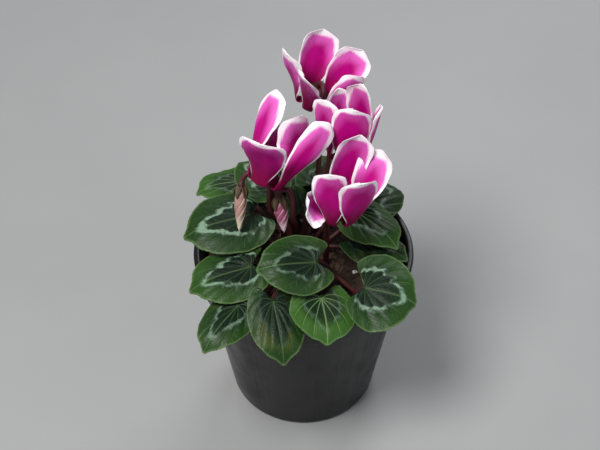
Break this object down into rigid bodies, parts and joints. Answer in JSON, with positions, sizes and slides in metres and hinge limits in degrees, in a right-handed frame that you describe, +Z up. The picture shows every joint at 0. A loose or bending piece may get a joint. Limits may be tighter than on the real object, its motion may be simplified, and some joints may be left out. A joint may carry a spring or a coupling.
{
  "type": "potted cyclamen",
  "caption": "Miniature cyclamen in a round black nursery pot, with marbled heart-shaped leaves, swept-back magenta flowers edged in white, and hanging buds.",
  "frame": {"origin": "centre of the pot's underside, on the surface that it stands on", "axes": "+Z up along the pot's axis, -Y towards the front of the plant, +X to its right as seen from the front"},
  "size_m": [0.0928, 0.1105, 0.1589],
  "materials": {
    "pot_plastic": "satin",
    "potting_mix": "matte",
    "tuber_skin": "matte",
    "leaf_green": "satin",
    "stalk_red": "satin",
    "petal_magenta": "satin",
    "bud_pink": "satin"
  },
  "bodies": {
    "root": {"pot": "pot_plastic", "potting_soil": "potting_mix", "tuber": "tuber_skin", "leaf_01_blade": "leaf_green", "leaf_02_blade": "leaf_green", "leaf_03_blade": "leaf_green", "leaf_04_blade": "leaf_green", "leaf_05_blade": "leaf_green", "leaf_06_blade": "leaf_green", "leaf_07_blade": "leaf_green", "leaf_08_blade": "leaf_green", "leaf_09_blade": "leaf_green", "leaf_10_blade": "leaf_green", "leaf_11_blade": "leaf_green", "leaf_12_blade": "leaf_green", "leaf_13_blade": "leaf_green", "leaf_14_blade": "leaf_green", "leaf_15_blade": "leaf_green", "leaf_16_blade": "leaf_green", "leaf_17_blade": "leaf_green", "leaf_18_blade": "leaf_green", "leaf_01_stalk": "stalk_red", "leaf_02_stalk": "stalk_red", "leaf_03_stalk": "stalk_red", "leaf_04_stalk": "stalk_red", "leaf_05_stalk": "stalk_red", "leaf_06_stalk": "stalk_red", "leaf_07_stalk": "stalk_red", "leaf_08_stalk": "stalk_red", "leaf_09_stalk": "stalk_red", "leaf_10_stalk": "stalk_red", "leaf_11_stalk": "stalk_red", "leaf_12_stalk": "stalk_red", "leaf_13_stalk": "stalk_red", "leaf_14_stalk": "stalk_red", "leaf_15_stalk": "stalk_red", "leaf_16_stalk": "stalk_red", "leaf_17_stalk": "stalk_red", "leaf_18_stalk": "stalk_red", "bloom_01": "petal_magenta", "bloom_02": "petal_magenta", "bloom_03": "petal_magenta", "bloom_04": "petal_magenta", "bloom_01_stalk": "stalk_red", "bloom_02_stalk": "stalk_red", "bloom_03_stalk": "stalk_red", "bloom_04_stalk": "stalk_red", "bud_01": "bud_pink", "bud_02": "bud_pink", "bud_01_stalk": "stalk_red", "bud_02_stalk": "stalk_red"}
  },
  "joints": []
}
